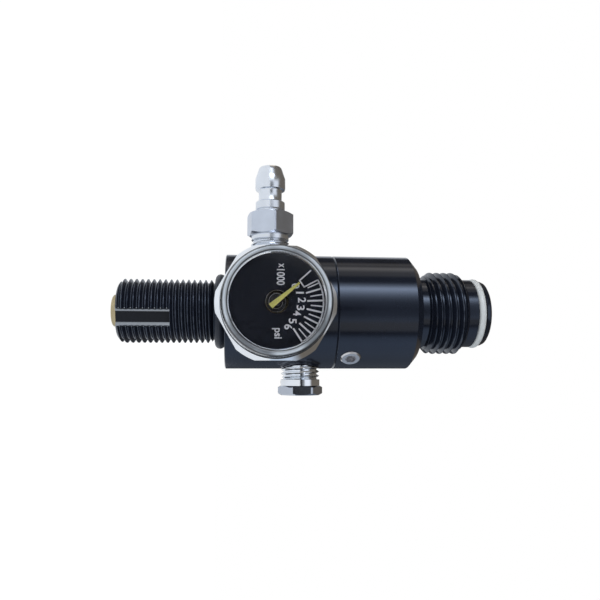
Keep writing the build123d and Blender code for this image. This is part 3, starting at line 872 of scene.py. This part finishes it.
def slot_cutter():
    """Long block with rounded lower edges, the shape that an end mill with rounded corners leaves."""
    right = []
    for bend in (math.radians(90 * n / 6) for n in range(7)):
        from_middle = SLOT_HALF - SLOT_CORNER + SLOT_CORNER * math.sin(bend)
        right.append((from_middle, SLOT_FLOOR + SLOT_CORNER * (1 - math.cos(bend))))
    left = [(-t, d) for t, d in right]
    outline = [(SLOT_HALF, OUTSIDE_STEM)] + right[::-1] + left + [(-SLOT_HALF, OUTSIDE_STEM)]
    points = [
        (SLOT_SIDE * t + SLOT_OUT * d + Vector((0, 0, h))) * MM
        for h in (SLOT_BELOW, SLOT_TOP)
        for t, d in outline
    ]
    count = len(outline)
    walls = [(k, (k + 1) % count, (k + 1) % count + count, k + count) for k in range(count)]
    caps = [tuple(range(count))[::-1], tuple(range(count, 2 * count))]
    return new_piece("slot_cutter", mesh_from("slot_cutter", points, walls + caps))


body = threaded(
    "valve_body", ON_AXIS, STEM_CREST / MM, STEM_PITCH, -14.22, (-27.5, -2.0),
    clearing=[(7.06, -27.0), (9.5, -27.0), (9.5, -2.72), (7.06, -2.72)],
    trim=[(6.8, -25.8), (7.1, -25.8), (8.1, -24.95), (8.1, -3.7), (7.0, -2.75), (6.8, -2.75)],
)
carve(body, slot_cutter(), "DIFFERENCE")
dress(body, finishes["body_anodised"])
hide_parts("valve_body")
print("body faces:", len(body.data.polygons))

# %% Finish the slot's floor and its edges
EDGE_HEIGHT = 0.75
CLOSE = 0.01
FLAT = 0.99


def in_slot(face):
    """Whether a face of the body is the slot's floor or the foot of one of its walls."""
    out, side = face.center.dot(SLOT_OUT) / MM, abs(face.center.dot(SLOT_SIDE)) / MM
    deep = SLOT_FLOOR - CLOSE < out < SLOT_FLOOR + EDGE_HEIGHT
    return face.center.z < SLOT_TOP * MM and deep and side < SLOT_HALF + CLOSE


finish_faces(body, milled_slot, lambda face: in_slot(face) and face.normal.dot(SLOT_OUT) > FLAT)
finish_faces(body, cut_edge, lambda face: in_slot(face) and not face.normal.dot(SLOT_OUT) > FLAT)

# %% Thread the outlet neck
OUTLET_PITCH = 25.4 / 14
bonnet = threaded(
    "bonnet", ON_AXIS, OUTLET_CREST / MM, OUTLET_PITCH, 54.7, (49.0, 60.5),
    clearing=[(9.35, 50.35), (11.5, 50.35), (11.5, 58.9), (9.35, 58.9)],
    trim=[(9.1, 50.4), (9.4, 50.4), (10.6, 51.5), (10.6, 58.3), (9.5, 59.4), (9.1, 59.4)],
)
end_cone = [(8.4, 57.0), (9.36, 57.0), (9.36, 59.3), (8.7, 60.0), (8.4, 60.0)]
carve(bonnet, turned_ring("end_cone", end_cone, ON_AXIS), "UNION")
dress(bonnet, finishes["bonnet_anodised"])
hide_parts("bonnet")
print("bonnet faces:", len(bonnet.data.polygons))

# %% Thread the fill nipple
NIPPLE_CREST = 4.85
NIPPLE_PITCH = 1.27
NIPPLE_HEX = (-25.5, -19.2)
NIPPLE_HEX_FROM = 4.95
nipple_low, nipple_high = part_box("fill_nipple")
nipple_z = (nipple_low.z + nipple_high.z) / 2
NIPPLE_FRAME = fitting_frame(nipple_z / MM, (-1, 0, 0), (0, -1, 0))
nipple = threaded(
    "fill_nipple", NIPPLE_FRAME, NIPPLE_CREST, NIPPLE_PITCH, 16.0, (7.0, 19.0),
    clearing=[(4.06, 7.8), (5.6, 7.8), (5.6, 18.28), (4.06, 18.28)],
    trim=[(3.8, 8.4), (4.1, 8.4), (5.0, 9.2), (5.0, 17.3), (4.1, 18.2), (3.8, 18.2)],
)
dress(nipple, finishes["bright_plate"])
finish_faces(nipple, satin_hex, lambda face: (
    NIPPLE_HEX[0] * MM < face.center.x < NIPPLE_HEX[1] * MM
    and from_cross_axis(face, GAUGE_Z) > NIPPLE_HEX_FROM * MM
))
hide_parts("fill_nipple")

# %% Thread the burst plug
PLUG_CREST = 9.525 / 2
PLUG_PITCH = 25.4 / 24
PLUG_HEX = 18.3
PLUG_HEX_FROM = 4.3
plug_low, plug_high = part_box("burst_plug")
plug_z = (plug_low.z + plug_high.z) / 2
PLUG_FRAME = fitting_frame(plug_z / MM, (1, 0, 0), (0, -1, 0))
plug = threaded(
    "burst_plug", PLUG_FRAME, PLUG_CREST, PLUG_PITCH, 15.2, (8.0, 17.0),
    clearing=[(4.10, 8.4), (5.6, 8.4), (5.6, 16.75), (4.10, 16.75)],
    trim=[(3.9, 8.6), (4.15, 8.6), (4.9, 9.3), (4.9, 16.0), (4.15, 16.7), (3.9, 16.7)],
)
dress(plug, finishes["gauge_plate"])
finish_faces(plug, plug_hex, lambda face: (
    face.center.x > PLUG_HEX * MM and from_cross_axis(face, plug_z) > PLUG_HEX_FROM * MM
))
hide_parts("burst_plug")

# %% [markdown]
# ## The springs
# The disc springs, the outlet pin's spring and the check valve's spring are squeezed when their piece slides.
# Here each one is a copy of its CAD mesh with its finish; the table also gives each spring's joint, axis,
# fixed end and travel.

# %% Copy the springs
for node, joint, axis, fixed_end, travel in (
    ("disc_spring_stack", "piston_slide", (0, 0, 1), "low", 0.8),
    ("outlet_pin_spring", "outlet_pin_slide", (0, 0, 1), "low", 1.5),
    ("fill_check_spring", "fill_poppet_slide", (1, 0, 0), "high", 1.5),
):
    spring = merged_copy(node, node + "_squeezed")
    dress(spring, finishes[slot_of[node]])
    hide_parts(node)
    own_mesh(spring)

# %% [markdown]
# ## The gauge's clear cover
# The cover is one moulding, but its thick rim looks milky beside the clear window, and the rim's front has
# painted rings of highlight and shade. It is a copy of the CAD shape with three finishes, chosen face by face
# from the distance to the gauge's axis and from the way that a face points.

# %% Split the cover's finish
WINDOW_RADIUS = 10.45 * MM
FORWARD = -0.3
cover = merged_copy("gauge_lens", "gauge_cover")
dress(cover, finishes["clear_lens"])
finish_faces(cover, milky_rim, lambda face: (
    from_gauge_axis(face) > WINDOW_RADIUS and not face.normal.y < FORWARD
))
# The rim's front faces take the painted highlights and shade.
finish_faces(cover, rim_painted_light, lambda face: (
    from_gauge_axis(face) > WINDOW_RADIUS and face.normal.y < FORWARD
))
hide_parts("gauge_lens")

# %% [markdown]
# ## The needle
# The real needle is a stamped strip that narrows only a little. The CAD shape comes to a point, so a copy of
# it has its tip widened: the few corners near the tip are moved away from the needle's middle line.

# %% Widen the needle's tip
NEEDLE_ANGLE = math.radians(39.5)
TIP_FROM = 5 * MM
TIP_WIDER = 2.2
needle = merged_copy("gauge_pointer", "needle")
along = Vector((-math.sin(NEEDLE_ANGLE), 0, math.cos(NEEDLE_ANGLE)))
across = Vector((math.cos(NEEDLE_ANGLE), 0, math.sin(NEEDLE_ANGLE)))
pivot = Vector((0, 0, GAUGE_Z))
tips = [v for v in needle.data.vertices if (v.co - pivot).dot(along) > TIP_FROM]
for corner in tips:
    corner.co += across * (corner.co - pivot).dot(across) * (TIP_WIDER - 1)
dress(needle, finishes[slot_of["gauge_pointer"]], "pointer")
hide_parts("gauge_pointer")
print("needle corners moved:", len(tips))

# %% [markdown]
# ## The printed dial
# The scale is printed in white: a mark for each thousand with a half mark between, an outer line, an open
# box at zero, the numbers and the units. Marks repeat by a rule, so Geometry Nodes turn copies of one bar
# round the scale's centre. The lettering is Blender's own text, made a mesh and then laid on the dial. All
# of it stands 0.02 mm proud, like thick ink.

# %% A frame on the dial
RIGHT_UP_OUT = Matrix(((0, 0, 1), (-1, 0, 0), (0, -1, 0))).transposed()
DIAL_PLANE = Matrix.Translation((0, DIAL_FACE_Y, GAUGE_Z)) @ RIGHT_UP_OUT.to_4x4()
SCALE_CENTRE = Vector((-0.2, -0.1, 0)) * MM
INK = 0.02 * MM
print("dial faces", [round(c, 2) for c in DIAL_PLANE.to_3x3() @ Vector((0, 0, 1))])


def lay_on_dial(name, mesh, finish):
    """Puts a mesh drawn in the dial's plane on the dial and lets it ride."""
    mesh.transform(DIAL_PLANE)
    piece = new_piece(name, mesh)
    dress(piece, finish)
    return piece

# %% The marks
def marks_tree():
    """Bars that stand on a circle, one every step angle."""
    tree, given = tree_with_inputs(
        "dial_marks",
        ["First Angle", "Step Angle", "Inner Radius", "Outer Radius", "Width", "Thickness"],
        ["Count"],
    )
    points = put(tree, "GeometryNodeMeshLine", {"Count": given["Count"], "Offset": (0, 0, 0)})
    long = arithmetic(tree, "SUBTRACT", given["Outer Radius"], given["Inner Radius"])
    middle = arithmetic(tree, "ADD", given["Inner Radius"], arithmetic(tree, "MULTIPLY", long, 0.5))
    size = put(tree, "ShaderNodeCombineXYZ", {"X": long, "Y": given["Width"], "Z": given["Thickness"]})
    bar = put(tree, "GeometryNodeMeshCube", {"Size": size.outputs[0]})
    moved = put(tree, "ShaderNodeCombineXYZ", {"X": middle})
    standing = put(tree, "GeometryNodeTransform", {
        "Geometry": bar.outputs[0], "Translation": moved.outputs[0],
    })
    number = put(tree, "GeometryNodeInputIndex").outputs[0]
    angle = arithmetic(tree, "MULTIPLY", number, given["Step Angle"])
    angle = arithmetic(tree, "ADD", angle, given["First Angle"])
    turned = put(tree, "FunctionNodeAxisAngleToRotation", {"Axis": (0, 0, 1), "Angle": angle})
    copies = put(tree, "GeometryNodeInstanceOnPoints", {
        "Points": points.outputs[0], "Instance": standing.outputs[0], "Rotation": turned.outputs[0],
    })
    end_tree(tree, copies.outputs[0], given)
    return tree


MARKS_TREE = marks_tree()
MARK_STEP = math.radians(-14.67)
FIRST_MARK = math.radians(17.0)
OUTER_MARK = 10.3
for name, first, inner, width, count in (
    ("dial_major_marks", FIRST_MARK, 6.8, 0.38, 6),
    ("dial_minor_marks", FIRST_MARK - MARK_STEP / 2, 7.55, 0.27, 6),
):
    marks = grow(
        name, MARKS_TREE, First_Angle=first, Step_Angle=MARK_STEP, Inner_Radius=inner * MM,
        Outer_Radius=OUTER_MARK * MM, Width=width * MM, Thickness=2 * INK, Count=count, Material=white_print,
    )
    marks.transform(Matrix.Translation(SCALE_CENTRE))
    lay_on_dial(name, marks, white_print)
    print(name, len(marks.polygons), "faces")

# %% The outer line and the box at zero
def ink_strip(name, middle_line, width):
    """Flat strip of ink along a line of points in the dial's plane, all in mm."""
    left, right = [], []
    for n, point in enumerate(middle_line):
        before = middle_line[max(n - 1, 0)]
        after = middle_line[min(n + 1, len(middle_line) - 1)]
        across = Vector((before[1] - after[1], after[0] - before[0])).normalized() * width / 2
        left.append((point[0] + across.x, point[1] + across.y))
        right.append((point[0] - across.x, point[1] - across.y))
    rim = left + right[::-1]
    count = len(rim)
    points = [SCALE_CENTRE + Vector((x, y, 0)) * MM + Vector((0, 0, h)) for h in (-INK, INK) for x, y in rim]
    last = len(left) - 1
    walls = [(k, (k + 1) % count, (k + 1) % count + count, k + count) for k in range(count)]
    lower = [(k, k + 1, count - 2 - k, count - 1 - k) for k in range(last)]
    upper = [tuple(v + count for v in face) for face in lower]
    return mesh_from(name, points, walls + lower + upper)


def on_circle(radius, degrees):
    """Point at a radius and an angle from the picture's right, in mm."""
    return (radius * math.cos(math.radians(degrees)), radius * math.sin(math.radians(degrees)))


LINE_RADIUS = 10.33
LINE_WIDTH = 0.34
LINE_STEPS = 48
LINE_END = -57.5
BOX_LOW, BOX_HIGH = 28.3, 42.5
BOX_WIDTH = 0.3
sweep = BOX_LOW - LINE_END
outer_line = [on_circle(LINE_RADIUS, BOX_LOW - n * sweep / LINE_STEPS) for n in range(LINE_STEPS + 1)]
lay_on_dial("dial_outer_line", ink_strip("dial_outer_line", outer_line, LINE_WIDTH), white_print)
for name, ends in (
    ("dial_zero_low", (on_circle(6.85, BOX_LOW), on_circle(OUTER_MARK, BOX_LOW))),
    ("dial_zero_high", (on_circle(6.85, BOX_HIGH), on_circle(OUTER_MARK, BOX_HIGH))),
    ("dial_zero_foot", (on_circle(6.98, BOX_LOW - 1.4), on_circle(6.98, BOX_HIGH + 1.4))),
):
    lay_on_dial(name, ink_strip(name, ends, BOX_WIDTH), white_print)
print("outer line covers", round(sweep, 1), "degrees")

# %% The numbers and units
TEXT_EXTRUDE = 0.05
TEXT_FATTER = 0.018


def lettering(name, words, width, height, right, up):
    """Text fitted to a width and height and centred at a place on the dial, reading down the picture; mm."""
    curve = bpy.data.curves.new(name, "FONT")
    curve.body = words
    curve.extrude = TEXT_EXTRUDE
    curve.offset = TEXT_FATTER
    holder = new_piece(name + "_text", curve)
    mesh = evaluated_mesh(holder)
    bpy.data.objects.remove(holder)
    low = Vector((min(v.co.x for v in mesh.vertices), min(v.co.y for v in mesh.vertices), 0))
    high = Vector((max(v.co.x for v in mesh.vertices), max(v.co.y for v in mesh.vertices), 0))
    mesh.transform(Matrix.Translation(-(low + high) / 2))
    size = high - low
    mesh.transform(Matrix.Diagonal((width * MM / size.x, height * MM / size.y, INK / TEXT_EXTRUDE, 1)))
    spot = Matrix.Translation(Vector((right, up, 0)) * MM)
    mesh.transform(spot @ Matrix.Rotation(math.radians(-90), 4, "Z"))
    shape = bmesh.new()
    shape.from_mesh(mesh)
    bmesh.ops.remove_doubles(shape, verts=shape.verts, dist=1e-7)
    shape.to_mesh(mesh)
    shape.free()
    lay_on_dial(name, mesh, white_print)


NUMBERS = [(4.05, 3.4), (5.0, 1.95), (5.45, 0.35), (5.15, -1.3), (4.4, -2.5), (3.43, -4.2), (2.5, -5.45)]
DIGIT_WIDE, ONE_WIDE, DIGIT_HIGH = 1.1, 0.4, 1.72
for number, (right, up) in enumerate(NUMBERS):
    wide = ONE_WIDE if number == 1 else DIGIT_WIDE
    lettering(f"dial_number_{number}", str(number), wide, DIGIT_HIGH, right, up)
lettering("dial_times", "x", 0.95, 1.15, 0.95, 7.85)
lettering("dial_thousand", "1000", 3.5, 1.76, 0.85, 5.3)
lettering("dial_unit", "psi", 2.25, 2.1, 0.05, -6.85)
print("numbers on the dial:", len(NUMBERS))

# %% [markdown]
# ## The hairspring
# A flat spiral spring takes up the play of the gauge's movement. It lies just behind the dial, where the
# dial's hole shows its turns. A curve swept with a round section makes it, in a tree whose inputs are the
# spring's sizes.

# %% Wind the hairspring
BEHIND_DIAL = 0.75 * MM


def hairspring_tree():
    """Flat spiral of round wire about +Z."""
    tree, given = tree_with_inputs("hairspring", ["Inner Radius", "Outer Radius", "Turns", "Wire Radius"])
    spiral = put(tree, "GeometryNodeCurveSpiral", {
        "Resolution": 48, "Rotations": given["Turns"], "Start Radius": given["Inner Radius"],
        "End Radius": given["Outer Radius"], "Height": 0.0,
    })
    wire = put(tree, "GeometryNodeCurvePrimitiveCircle", {"Resolution": 8, "Radius": given["Wire Radius"]})
    swept = put(tree, "GeometryNodeCurveToMesh", {
        "Curve": spiral.outputs[0], "Profile Curve": wire.outputs[0], "Fill Caps": True,
    })
    end_tree(tree, swept.outputs[0], given)
    return tree


spring_mesh = grow(
    "hairspring", hairspring_tree(), Inner_Radius=1.3 * MM, Outer_Radius=2.9 * MM, Turns=2.25,
    Wire_Radius=0.05 * MM, Material=finishes["spring_steel"],
)
spring_mesh.transform(DIAL_PLANE @ Matrix.Translation((0, 0, -BEHIND_DIAL)))
hairspring = new_piece("hairspring", spring_mesh)
dress(hairspring, finishes["spring_steel"])
print("hairspring faces:", len(spring_mesh.polygons))
